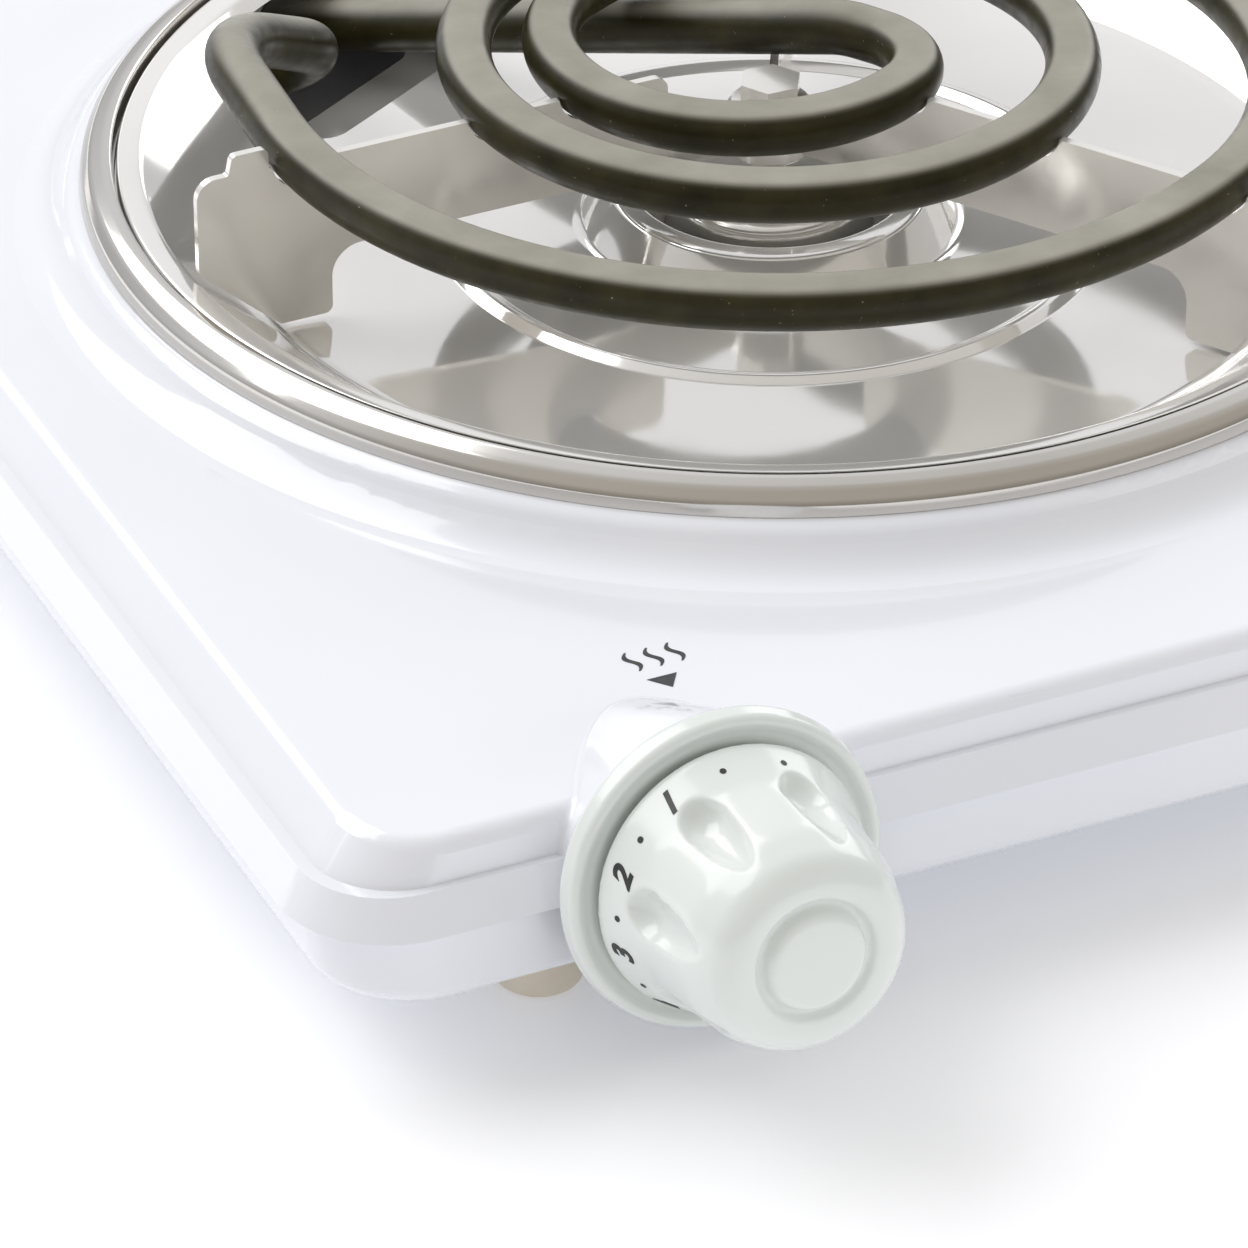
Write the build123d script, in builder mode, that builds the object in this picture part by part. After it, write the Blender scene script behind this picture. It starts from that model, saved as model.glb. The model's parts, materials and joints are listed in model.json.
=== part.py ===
"""Single-coil electric hot plate burner. Millimetres, +Z up, +Y to the back, front knob at -Y.

The origin is the middle of the overall box, on the table. The burner axis is vertical at
(0, burner_y). Depths on the control axis are measured outward from the bezel's rim plane.
"""

from build123d import *
import os
from math import atan2, cos, degrees, radians, sin, sqrt, tan

# ---- heights above the table ----
foot_height = 12.0
skirt_low_z = 23.8
step_z = 28.9
plateau_z = 34.4
deck_z = 39.9
ring_top_z = 44.4
coil_z = 58.1

# ---- plan sizes, measured from the burner axis ----
burner_y = 20.93
skirt_half = 126.6
skirt_front = 136.8
step_half = 123.9
step_front = 133.9
wall_half = 122.9
wall_front = 132.9
plateau_half = 117.6
plateau_front = 131.4
sheet = 0.8
boss_foot_r = 103.4
boss_top_r = 99.4
deck_hole_r = 91.0

# ---- bottom pan ----
pan_half = 122.4
pan_front = 134.6
pan_corner_r = 14.0
pan_top_z = 25.2
foot_x = 89.5
foot_front = 117.6
foot_back = 98.0
foot_r = 5.7

# ---- drip pan, trim ring and reflector ----
ring_outer_r = 98.0
ring_inner_r = 93.25
chrome_sheet = 0.5
dish_boss_r = 14.0
dish_boss_z = 36.4
dish_floor_z = 25.9

# ---- heating coil ----
tube_r = 3.95
tube_flat = 3.1
outer_turn_r = 72.8
second_turn_r = 43.3
third_turn_r = 32.0
inner_turn_r = 22.0
lead_gap = 11.0
lead_end_u = 98.0
lead_end_z = 28.8
exit_angle = 121.5

# ---- support ----
arm_thick = 1.2
arm_low_z = 42.9
arm_top_z = 57.6
arm_angles = {"left": 181.5, "front": 301.5, "rear": 61.5}
bolt_r = 2.35

# ---- control ----
knob_x = -74.7
control_z = 26.1
bezel_reach = 140.6
knob_tilt = 6.0
bezel_r = 21.8
dial_r = 18.2
knob_base = 1.9
knob_length = 27.7
flute_count = 7
shaft_r = 3.0
shaft_flat = 1.9
bushing_r = 4.9
face_depth = -2.0

# ---- wiring and inlet ----
wire_r = 1.3
wire_z = 19.0
gland_x = 60.0
gland_r = 4.1
gland_bore_r = 3.2

os.makedirs("parts", exist_ok=True)

burner = Plane.XY.move(Location((0, burner_y, 0)))
control = Plane(
    origin=(knob_x, burner_y - bezel_reach, control_z),
    x_dir=(1, 0, 0),
    z_dir=(0, -cos(radians(knob_tilt)), sin(radians(knob_tilt))),
)


def save(part, label):
    """Label a finished piece and write its STEP file."""
    part.label = label
    export_step(part, f"parts/{label}.step")


def burner_section(angle=0.0):
    """Vertical plane through the burner axis: local x is the radius, local y the height."""
    across = Vector(cos(radians(angle)), sin(radians(angle)), 0)
    return Plane(origin=(0, burner_y, 0), x_dir=across, z_dir=across.cross(Vector(0, 0, 1)))


def control_section():
    """Plane through the control axis: local x is the radius, local y the depth outward."""
    return Plane(origin=control.origin, x_dir=control.x_dir, z_dir=control.x_dir.cross(control.z_dir))


def tier(low_z, low, high_z, high):
    """Tapered slab between two rounded rectangles given as (half width, front, back, corner)."""
    with BuildPart() as slab:
        for height, (half, front, back, corner) in ((low_z, low), (high_z, high)):
            with BuildSketch(Plane.XY.offset(height)):
                with Locations((0, burner_y + (back - front) / 2)):
                    RectangleRounded(2 * half, front + back, corner)
        loft()
    return slab.part


def shell_form(inset):
    """Solid outer form of the top shell, shrunk by inset for its hollow."""
    skirt = tier(
        skirt_low_z,
        (skirt_half - inset, skirt_front - inset, skirt_half - inset, 15 - inset),
        step_z - inset,
        (step_half - inset, step_front - inset, step_half - inset, 12 - inset),
    )
    wall = tier(
        step_z - inset - 1,
        (wall_half - inset, wall_front - inset, wall_half - inset, 11.5 - inset),
        plateau_z - inset,
        (plateau_half - inset, plateau_front - inset, plateau_half - inset, 11 - inset),
    )
    with BuildPart() as form:
        add(skirt)
        add(wall)
        top_edges = form.faces().sort_by(Axis.Z)[-1].edges()
        fillet(top_edges, 2.6 - inset)
        with BuildSketch(burner_section()) as boss:
            with BuildLine():
                crown = FilletPolyline(
                    (boss_foot_r + 8, plateau_z - inset),
                    (boss_foot_r, plateau_z - inset),
                    (boss_top_r - inset, deck_z - inset),
                    (boss_top_r - 10, deck_z - inset),
                    radius=[8 + inset, 3.0 - inset],
                )
                Polyline(crown @ 1, (0, deck_z - inset), (0, step_z), (boss_foot_r + 8, step_z), crown @ 0)
            make_face()
        revolve(axis=Axis((0, burner_y, 0), (0, 0, 1)))
        with BuildPart(mode=Mode.PRIVATE) as pod:
            with BuildSketch(control.offset(face_depth - inset)):
                Circle(20.3 - inset)
            with BuildSketch(control.offset(-31)):
                Circle(10.0 - inset)
            loft()
            split(bisect_by=Plane.XY.offset(skirt_low_z), keep=Keep.TOP)
        add(pod.part)
    return form.part


# ---- top shell: one pressed sheet with a round deck and a pod for the control ----
outer_form = shell_form(0)
inner_form = shell_form(sheet)
pod_seam = [
    edge
    for edge in outer_form.edges()
    if edge.geom_type in (GeomType.BSPLINE, GeomType.HYPERBOLA)
    and abs(edge.center().X - knob_x) < 24
    and edge.center().Y < burner_y - 95
    and edge.center().Z > step_z + 0.6
]
outer_form = outer_form.fillet(1.2, pod_seam)
with BuildPart() as top_shell:
    add(outer_form)
    add(inner_form, mode=Mode.SUBTRACT)
    with BuildSketch(control.offset(face_depth)):
        Circle(18.0)
    extrude(amount=-sheet)
    with BuildSketch(control.offset(face_depth + 1)):
        Circle(bushing_r + 0.1)
    extrude(amount=-4, mode=Mode.SUBTRACT)
    with BuildSketch(burner.offset(plateau_z)):
        Circle(deck_hole_r)
    extrude(amount=20, mode=Mode.SUBTRACT)
save(top_shell.part, "top_shell")


# ---- trim ring: bright convex band with a turned-down inner hem ----
with BuildPart() as trim_ring:
    with BuildSketch(burner_section()):
        with BuildLine():
            ThreePointArc(
                (ring_outer_r, deck_z),
                (ring_outer_r - 1.3, deck_z + 3.1),
                (ring_inner_r, ring_top_z),
            )
            Polyline(
                (ring_inner_r, ring_top_z),
                (ring_inner_r - 0.3, deck_z + 1.2),
                (ring_inner_r + 0.2, deck_z + 1.2),
                (ring_inner_r + 0.5, ring_top_z - 0.7),
            )
            ThreePointArc(
                (ring_inner_r + 0.5, ring_top_z - 0.7),
                (ring_outer_r - 1.9, deck_z + 2.7),
                (ring_outer_r - 0.6, deck_z),
            )
            Line((ring_outer_r - 0.6, deck_z), (ring_outer_r, deck_z))
        make_face()
    revolve(axis=Axis((0, burner_y, 0), (0, 0, 1)))
save(trim_ring.part, "trim_ring")


def burner_vector(u, v, z):
    """Point at u along the lead exit direction and v to its left."""
    a = radians(exit_angle)
    return Vector(u * cos(a) - v * sin(a), burner_y + u * sin(a) + v * cos(a), z)


def exit_plane(z=0.0):
    """Horizontal plane on the burner axis with local x towards the lead exit."""
    a = radians(exit_angle)
    return Plane(origin=(0, burner_y, z), x_dir=(cos(a), sin(a), 0), z_dir=(0, 0, 1))


# ---- drip pan: seat flange, ledge, sloped wall, beaded floor and a raised centre lip ----
with BuildPart() as drip_pan:
    with BuildSketch(burner_section()):
        with BuildLine():
            FilletPolyline(
                (95.6, deck_z + 0.25),
                (92.35, deck_z + 0.25),
                (92.35, deck_z + 3.3),
                (89.3, deck_z + 2.9),
                (76.6, deck_z - 7.9),
                (72.0, deck_z - 8.1),
                (48.4, deck_z - 9.1),
                (46.6, deck_z - 7.9),
                (44.6, deck_z - 9.2),
                (27.0, deck_z - 9.5),
                (22.6, deck_z - 3.2),
                (19.6, deck_z - 3.2),
                (18.8, deck_z - 5.4),
                radius=[0.3, 0.4, 2.0, 4.0, 6.0, 0.8, 0.6, 0.8, 1.8, 1.0, 1.0],
            )
        trace(line_width=chrome_sheet)
    revolve(axis=Axis((0, burner_y, 0), (0, 0, 1)))
    with BuildSketch(exit_plane(deck_z - 12)):
        with Locations((79, 0)):
            RectangleRounded(30, 38, 5)
    extrude(amount=13.2, mode=Mode.SUBTRACT)
save(drip_pan.part, "drip_pan")


# ---- heat shield: reflector dish with a raised boss that the centre bolt clamps ----
with BuildPart() as heat_shield:
    with BuildSketch(burner_section()):
        with BuildLine():
            FilletPolyline(
                (97.6, deck_z - sheet - 0.3),
                (94.6, deck_z - sheet - 0.3),
                (85.0, dish_floor_z - 0.3),
                (dish_boss_r + 1.6, dish_floor_z - 0.3),
                (dish_boss_r, dish_boss_z - 0.3),
                (bolt_r + 0.25, dish_boss_z - 0.3),
                radius=[0.8, 3.0, 2.0, 1.6],
            )
        trace(line_width=0.6)
    revolve(axis=Axis((0, burner_y, 0), (0, 0, 1)))
    with BuildSketch(exit_plane(dish_floor_z - 3)):
        with Locations((88, 0)):
            RectangleRounded(22, 44, 4)
    extrude(amount=15.5, mode=Mode.SUBTRACT)
save(heat_shield.part, "heat_shield")


# ---- heating coil: flat-topped spiral with two round cold leads ----
def tube_turn(start_angle, angle, radius, shift=0.0):
    """Stretch of flat-topped tube about a centre moved by shift along the exit direction."""
    a = radians(exit_angle + start_angle)
    outward = Vector(cos(a), sin(a), 0)
    centre = burner_vector(shift, 0, coil_z)
    edge_x = sqrt(tube_r**2 - tube_flat**2)
    with BuildPart() as stretch:
        section = Plane(origin=centre + outward * radius, x_dir=outward, z_dir=outward.cross(Vector(0, 0, 1)))
        with BuildSketch(section):
            with BuildLine():
                Line((-edge_x, tube_flat), (edge_x, tube_flat))
                ThreePointArc((edge_x, tube_flat), (0, -tube_r), (-edge_x, tube_flat))
            make_face()
        revolve(axis=Axis(centre, (0, 0, 1)), revolution_arc=angle)
    return stretch.part


ramp_angle = 54.0
shrink_turns = (
    (180, outer_turn_r, second_turn_r),
    (180, second_turn_r, third_turn_r),
    (0, third_turn_r, inner_turn_r),
)
ramp_foot = (outer_turn_r * cos(radians(ramp_angle)), outer_turn_r * sin(radians(ramp_angle)), coil_z)
with BuildPart() as heating_coil:
    add(tube_turn(ramp_angle, 180 - ramp_angle, outer_turn_r))
    add(tube_turn(0, 180, second_turn_r))
    for start_angle, from_r, to_r in shrink_turns:
        side = 1 if start_angle == 0 else -1
        add(tube_turn(start_angle, 180, (from_r + to_r) / 2, side * (from_r - to_r) / 2))
    add(tube_turn(180, 90, lead_gap, lead_gap - inner_turn_r))
    for route, radii in (
        (
            (
                (-lead_gap, -lead_gap, coil_z),
                (-5.5, -lead_gap, coil_z),
                (lead_end_u, -lead_gap, lead_end_z),
            ),
            [30],
        ),
        (
            (
                (lead_end_u, lead_gap, lead_end_z),
                (86, lead_gap, lead_end_z + 3.3),
                (68, lead_gap, 43.0),
                (68, 40.5, coil_z),
                ramp_foot,
            ),
            [18, 9.5, 30],
        ),
    ):
        with BuildLine() as cold_lead:
            FilletPolyline(*[burner_vector(*point) for point in route], radius=radii)
        with BuildSketch(Plane(origin=cold_lead.line @ 0, z_dir=cold_lead.line % 0)):
            Circle(tube_r)
        sweep(path=cold_lead.line)
save(heating_coil.part, "heating_coil")


# ---- lead ends: ceramic end seals, pins, terminal block and its bracket ----
lead_fall = degrees(atan2(coil_z - lead_end_z, lead_end_u + 5.5))
terminal = Plane(
    origin=burner_vector(lead_end_u, 0, lead_end_z),
    x_dir=burner_vector(0, 1, 0) - burner_vector(0, 0, 0),
    z_dir=(burner_vector(1, 0, -tan(radians(lead_fall))) - burner_vector(0, 0, 0)).normalized(),
)
block_size = (38, 9.4, 14)
with BuildPart() as end_seals:
    with BuildSketch(terminal.offset(0.6)):
        with Locations((lead_gap, 0), (-lead_gap, 0)):
            Circle(3.4)
            Circle(1.65, mode=Mode.SUBTRACT)
    extrude(amount=2.4)
save(end_seals.part, "end_seals")

with BuildPart() as element_pins:
    with BuildSketch(terminal.offset(0.6)):
        with Locations((lead_gap, 0), (-lead_gap, 0)):
            Circle(1.6)
    extrude(amount=14.4)
save(element_pins.part, "element_pins")

with BuildPart() as terminal_block:
    with BuildSketch(terminal.offset(-3.4)):
        RectangleRounded(block_size[0], block_size[1], 2)
    extrude(amount=block_size[2])
    with BuildSketch(terminal.offset(-3.4)):
        with Locations((lead_gap, 0), (-lead_gap, 0)):
            Circle(4.2)
    extrude(amount=6.6, mode=Mode.SUBTRACT)
    with BuildSketch(terminal):
        with Locations((lead_gap, 0), (-lead_gap, 0)):
            Circle(1.8)
    extrude(amount=14, mode=Mode.SUBTRACT)
save(terminal_block.part, "terminal_block")

bracket_leg = 9.8
with BuildPart() as block_bracket:
    with BuildSketch(terminal.offset(1)):
        with Locations((0, -block_size[1] / 2 - 0.5)):
            Rectangle(24, 1.0)
    extrude(amount=8)
    with BuildSketch(exit_plane(foot_height + sheet)):
        with Locations((103.5, 0)):
            Rectangle(8, 24)
    extrude(amount=1.0)
    with BuildSketch(exit_plane(foot_height + sheet)):
        with Locations((100.0, 0)):
            Rectangle(1.0, 24)
    extrude(amount=bracket_leg)
save(block_bracket.part, "block_bracket")

# ---- coil support: three notched arms slotted into a hub on the centre bolt ----
def turn_radius(angle, radius, shift=0.0):
    """Distance from the burner axis at which a circle shifted along the exit crosses an arm."""
    near = shift * cos(radians(angle))
    return near + sqrt(radius**2 - (shift * sin(radians(angle))) ** 2)


def notch_radii(angle):
    """Radii of the coil turns that rest on the arm at this absolute angle."""
    rel = (angle - exit_angle) % 360
    shrink = []
    for start_angle, from_r, to_r in shrink_turns:
        side = 1 if start_angle == 0 else -1
        shrink.append(turn_radius(rel, (from_r + to_r) / 2, side * (from_r - to_r) / 2))
    if rel < 179:
        return [outer_turn_r, second_turn_r, shrink[2]]
    if rel < 181:
        return [outer_turn_r, second_turn_r, inner_turn_r]
    return shrink[:2]


hub_low_z = 41.9
hub_high_z = 49.2
for name, angle in arm_angles.items():
    low_step = 20.0 if name == "rear" else 16.5
    with BuildPart() as support_arm:
        with BuildSketch(burner_section(angle)):
            with BuildLine():
                FilletPolyline(
                    (3.6, arm_low_z),
                    (68.5, arm_low_z),
                    (68.5, deck_z - 7.0),
                    (76.4, deck_z - 7.0),
                    (88.4, deck_z + 3.6),
                    (88.4, deck_z + 17.9),
                    (83.6, deck_z + 17.9),
                    (83.0, coil_z + 2.6),
                    (77.6, coil_z + 2.6),
                    (77.6, arm_top_z),
                    (low_step, arm_top_z),
                    (low_step, hub_high_z),
                    (3.6, hub_high_z),
                    radius=[4.5, 1.2, 1.0, 1.2, 3.0, 0.6, 1.0, 1.0, 0.4, 2.0, 1.0],
                )
                Line((3.6, hub_high_z), (3.6, arm_low_z))
            make_face()
            with Locations(*[(r, coil_z) for r in notch_radii(angle)]):
                Circle(tube_r + 0.3, mode=Mode.SUBTRACT)
        extrude(amount=arm_thick / 2, both=True)
    save(support_arm.part, f"support_arm_{name}")

with BuildPart() as support_hub:
    with BuildSketch(burner.offset(hub_low_z)):
        Circle(6.0)
        Circle(bolt_r + 0.1, mode=Mode.SUBTRACT)
    extrude(amount=hub_high_z + 0.6 - hub_low_z)
    chamfer(support_hub.edges().filter_by(GeomType.CIRCLE).group_by(SortBy.RADIUS)[-1], 0.5)
    for angle in arm_angles.values():
        with BuildSketch(burner_section(angle)):
            with Locations((3.6, arm_low_z)):
                Rectangle(4, hub_high_z - arm_low_z, align=(Align.MIN, Align.MIN))
        extrude(amount=arm_thick / 2, both=True, mode=Mode.SUBTRACT)
save(support_hub.part, "support_hub")


# ---- centre bolt and the nuts that clamp the reflector and the bottom pan ----
def hex_nut(low_z, across, thick, bore):
    """Hexagon nut on the burner axis."""
    with BuildPart() as nut:
        with BuildSketch(burner.offset(low_z)):
            RegularPolygon(across / 2, 6, major_radius=False)
        extrude(amount=thick)
        with BuildSketch(burner.offset(low_z)):
            Circle(bore)
        extrude(amount=thick, mode=Mode.SUBTRACT)
    return nut.part


with BuildPart() as centre_bolt:
    with BuildSketch(burner.offset(foot_height - 5.2)):
        Circle(bolt_r)
    extrude(amount=hub_high_z + 0.6 - foot_height + 5.2)
    with BuildSketch(burner.offset(hub_high_z + 0.6)):
        RegularPolygon(4.0, 6, major_radius=False)
    extrude(amount=3.2)
    chamfer(centre_bolt.faces().sort_by(Axis.Z)[0].edges(), 0.4)
save(centre_bolt.part, "centre_bolt")
save(hex_nut(dish_boss_z - 0.6 - 3.6, 8.0, 3.6, bolt_r + 0.05), "shield_nut")
save(hex_nut(foot_height - 3.6, 8.0, 3.6, bolt_r + 0.05), "pan_nut")


# ---- bezel ring, knob and the clip in its bore ----
with BuildPart() as dial_bezel:
    with BuildSketch(control_section()):
        with BuildLine():
            FilletPolyline(
                (bushing_r + 0.1, face_depth),
                (21.2, face_depth),
                (bezel_r, -0.9),
                (bezel_r - 0.6, 1.9),
                (dial_r + 0.8, 1.0),
                (16.4, 0.7),
                (9.6, 0.6),
                (9.6, -0.6),
                (bushing_r + 0.1, -0.6),
                radius=[0.6, 1.0, 1.0, 2.0, 2.0, 0.3, 0.3],
            )
            Line((bushing_r + 0.1, -0.6), (bushing_r + 0.1, face_depth))
        make_face()
    revolve(axis=Axis(control.origin, control.z_dir))
save(dial_bezel.part, "dial_bezel")

flute_turn = 23.9
with BuildPart() as control_knob:
    with BuildSketch(control_section()):
        with BuildLine():
            rim = Line((0, knob_base + 1.4), (shaft_r + 2.6, knob_base + 1.4))
            Polyline(
                rim @ 1,
                (shaft_r + 2.6, 21.5),
                (10.6, 21.0),
                (12.8, 12.0),
                (dial_r - 1.9, knob_base),
                (dial_r - 0.5, knob_base),
            )
            Line((dial_r - 0.5, knob_base), (dial_r, knob_base + 0.5))
            Line((dial_r, knob_base + 0.5), (dial_r - 0.1, knob_base + 1.3))
            FilletPolyline(
                (dial_r - 0.1, knob_base + 1.3),
                (16.0, 9.4),
                (14.8, 20.0),
                (12.4, 26.7),
                (8.2, 26.5),
                (7.7, 25.6),
                (6.9, 25.6),
                (6.4, knob_length - 0.3),
                (0, knob_length),
                radius=[12.0, 12.0, 4.6, 0.4, 0.3, 0.3, 1.4],
            )
            Line((0, knob_length), (0, knob_base + 1.4))
        make_face()
    revolve(axis=Axis(control.origin, control.z_dir))
    with BuildSketch(control.offset(knob_base)):
        Circle(shaft_r + 0.05)
        with Locations((0, shaft_flat)):
            Rectangle(2 * shaft_r + 1, 2.4, align=(Align.CENTER, Align.MIN), mode=Mode.SUBTRACT)
        with Locations((0, shaft_flat - 0.5)):
            Rectangle(3.4, 1.2, align=(Align.CENTER, Align.MIN))
    extrude(amount=17.5, mode=Mode.SUBTRACT)
    for k in range(flute_count):
        a = radians(90 - flute_turn - 360 / flute_count * k)
        spoke = control.x_dir * cos(a) + control.y_dir * sin(a)
        lean = (control.z_dir * cos(radians(9)) - spoke * sin(radians(9))).normalized()
        foot = control.origin + spoke * 17.6 + control.z_dir * 7.2
        with BuildSketch(Plane(origin=foot, x_dir=lean, z_dir=lean.cross(spoke))):
            with BuildLine():
                ThreePointArc((0, 0), (2.2, 2.9), (6.0, 3.3))
                ThreePointArc((6.0, 3.3), (13.0, 2.2), (18.5, 0))
                Line((18.5, 0), (0, 0))
            make_face()
        revolve(axis=Axis(foot, lean), mode=Mode.SUBTRACT)
save(control_knob.part, "control_knob")

with BuildPart() as knob_clip:
    with BuildSketch(control.offset(knob_base + 4)):
        with Locations((0, shaft_flat + 0.08)):
            Rectangle(3.2, 0.5, align=(Align.CENTER, Align.MIN))
    extrude(amount=12)
save(knob_clip.part, "knob_clip")


# ---- control: housing, cover, bushing, shaft with cam, lever, blades and tabs ----
def control_box(width, height, corner, near, far):
    """Rounded box on the control axis between two depths."""
    with BuildPart() as box:
        with BuildSketch(control.offset(near)):
            RectangleRounded(width, height, corner)
        extrude(amount=far - near)
    return box.part


wall_back = face_depth - sheet
housing_far = -17.0
cover_thick = 1.4
cam_near = -8.4
cam_far = -11.0
with BuildPart() as control_housing:
    add(control_box(28, 16.4, 2, wall_back - 1.2, housing_far))
    add(control_box(25, 13.6, 1, wall_back - 3.0, housing_far), mode=Mode.SUBTRACT)
    with BuildSketch(control.offset(0)):
        Circle(shaft_r + 0.4)
    extrude(amount=-10, mode=Mode.SUBTRACT)
save(control_housing.part, "control_housing")

with BuildPart() as control_cover:
    add(control_box(28, 16.4, 2, housing_far, housing_far - cover_thick))
    with BuildSketch(control.offset(housing_far)):
        Circle(shaft_r - 1 + 0.05)
    extrude(amount=-cover_thick, mode=Mode.SUBTRACT)
save(control_cover.part, "control_cover")

with BuildPart() as control_bushing:
    with BuildSketch(control.offset(wall_back - 1.2)):
        Rectangle(24, 14)
    extrude(amount=1.2)
    with BuildSketch(control.offset(wall_back)):
        Circle(bushing_r)
    extrude(amount=4.6)
    with BuildSketch(control.offset(wall_back - 1.2)):
        Circle(shaft_r + 0.05)
    extrude(amount=6, mode=Mode.SUBTRACT)
save(control_bushing.part, "control_bushing")

with BuildPart() as bushing_nut:
    with BuildSketch(control.offset(-0.6)):
        RegularPolygon(7.0, 6, major_radius=False)
        Circle(bushing_r + 0.05, mode=Mode.SUBTRACT)
    extrude(amount=2.2)
save(bushing_nut.part, "bushing_nut")

with BuildPart() as control_shaft:
    with BuildSketch(control.offset(housing_far + 0.4)):
        Circle(shaft_r)
    extrude(amount=-housing_far + 18.0)
    with BuildSketch(control.offset(housing_far - 1.2)):
        Circle(shaft_r - 1)
    extrude(amount=1.6)
    with BuildSketch(control.offset(knob_base + 1)):
        with Locations((0, shaft_flat)):
            Rectangle(8, 4, align=(Align.CENTER, Align.MIN))
    extrude(amount=20, mode=Mode.SUBTRACT)
save(control_shaft.part, "control_shaft")

cam_low_r = 3.9
cam_rise = 1.0
cam_span = 330
cam_start = 80
with BuildPart() as control_cam:
    with BuildSketch(control.offset(cam_far)):
        with BuildLine():
            steps = 12
            rim = Spline(
                [
                    (
                        (cam_low_r + cam_rise * i / steps) * cos(radians(cam_start + cam_span * i / steps)),
                        (cam_low_r + cam_rise * i / steps) * sin(radians(cam_start + cam_span * i / steps)),
                    )
                    for i in range(steps + 1)
                ]
            )
            Line(rim @ 1, rim @ 0)
        make_face()
        Circle(shaft_r, mode=Mode.SUBTRACT)
    extrude(amount=cam_near - cam_far)
save(control_cam.part, "control_cam")

# The lever lies over the cam and swings on a pin across the housing.
lever_pin = (9.6, 4.4)
lever_gap = 0.3
with BuildPart() as cam_lever:
    with BuildSketch(control.offset(cam_far + 0.2)):
        with Locations(lever_pin):
            Circle(1.6)
        with Locations((-3.0, cam_low_r + lever_gap + 0.35)):
            Rectangle(lever_pin[0] + 3.0, 0.9, align=(Align.MIN, Align.MIN))
        with Locations((0, cam_low_r + lever_gap + 0.6)):
            Circle(0.6)
        with Locations(lever_pin):
            Circle(0.85, mode=Mode.SUBTRACT)
    extrude(amount=2.2)
save(cam_lever.part, "cam_lever")

with BuildPart() as lever_pin_rod:
    with BuildSketch(control.offset(wall_back - 3.0)):
        with Locations(lever_pin):
            Circle(0.8)
    extrude(amount=housing_far - wall_back + 3.0)
save(lever_pin_rod.part, "lever_pin")

blade_depth = -15.6
with BuildPart() as contact_blades:
    with BuildSketch(control.offset(blade_depth)):
        with Locations((-12.5, -5.4)):
            Rectangle(20, 0.4, align=(Align.MIN, Align.CENTER))
        with Locations((6.3, -5.0)):
            Circle(0.7)
        with Locations((-12.5, 5.4)):
            Rectangle(18, 0.4, align=(Align.MIN, Align.CENTER))
    extrude(amount=3.0)
save(contact_blades.part, "contact_blades")

with BuildPart() as bimetal_strip:
    with BuildSketch(control.offset(blade_depth)):
        with Locations((12.5, -3.9)):
            Rectangle(21, 0.5, align=(Align.MAX, Align.CENTER))
    extrude(amount=3.0)
save(bimetal_strip.part, "bimetal_strip")

tab_near = housing_far - cover_thick
tab_places = ((-6.0, 3.6), (8.0, 3.6), (-6.0, -4.0), (8.0, -4.0))
with BuildPart() as control_tabs:
    with BuildSketch(control.offset(tab_near)):
        with Locations(*tab_places):
            Rectangle(6.3, 0.8)
    extrude(amount=-7.0)
save(control_tabs.part, "control_tabs")

# ---- bottom pan: drawn tray with a rim flange, a front notch, vents and an inlet hole ----
feet = {
    "front_left": (-foot_x, burner_y - foot_front),
    "front_right": (foot_x, burner_y - foot_front),
    "rear_left": (-foot_x, burner_y + foot_back),
    "rear_right": (foot_x, burner_y + foot_back),
}
pan_outer = (pan_half, pan_front, pan_half, pan_corner_r)
pan_rim = (pan_half + 2.2, pan_front + 0.2, pan_half + 2.2, pan_corner_r)
pan_inner = (pan_half - sheet, pan_front - sheet, pan_half - sheet, pan_corner_r - sheet)
gland_z = 19.2
with BuildPart() as bottom_pan:
    add(tier(foot_height, pan_outer, pan_top_z, pan_outer))
    fillet(bottom_pan.faces().sort_by(Axis.Z)[0].edges(), 2.6)
    with BuildPart(mode=Mode.PRIVATE) as hollow:
        add(tier(foot_height + sheet, pan_inner, pan_top_z, pan_inner))
        fillet(hollow.faces().sort_by(Axis.Z)[0].edges(), 1.8)
    add(hollow.part, mode=Mode.SUBTRACT)
    add(tier(pan_top_z - sheet, pan_rim, pan_top_z, pan_rim))
    add(tier(foot_height + 6, pan_inner, pan_top_z, pan_inner), mode=Mode.SUBTRACT)
    for notch_z, notch_width in ((control_z - 9.5, 30), (skirt_low_z - 0.2, 43)):
        with BuildSketch(Plane.XY.offset(notch_z)):
            with Locations((knob_x, burner_y - pan_front)):
                Rectangle(notch_width, 12)
        extrude(amount=12, mode=Mode.SUBTRACT)
    with BuildSketch(burner.offset(foot_height)):
        Circle(bolt_r + 0.25)
        for ring_r, count in ((30, 8), (46, 12), (62, 16)):
            with PolarLocations(ring_r, count, start_angle=11):
                SlotOverall(14, 3.2)
    extrude(amount=sheet, mode=Mode.SUBTRACT)
    with BuildSketch(Plane.XY.offset(foot_height)):
        with Locations(*feet.values()):
            Circle(1.9)
    extrude(amount=sheet, mode=Mode.SUBTRACT)
    with BuildSketch(Plane.XZ.offset(-(burner_y + pan_half + 1))):
        with Locations((gland_x, gland_z)):
            Circle(gland_r + 0.05)
    extrude(amount=3, mode=Mode.SUBTRACT)
save(bottom_pan.part, "bottom_pan")

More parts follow.
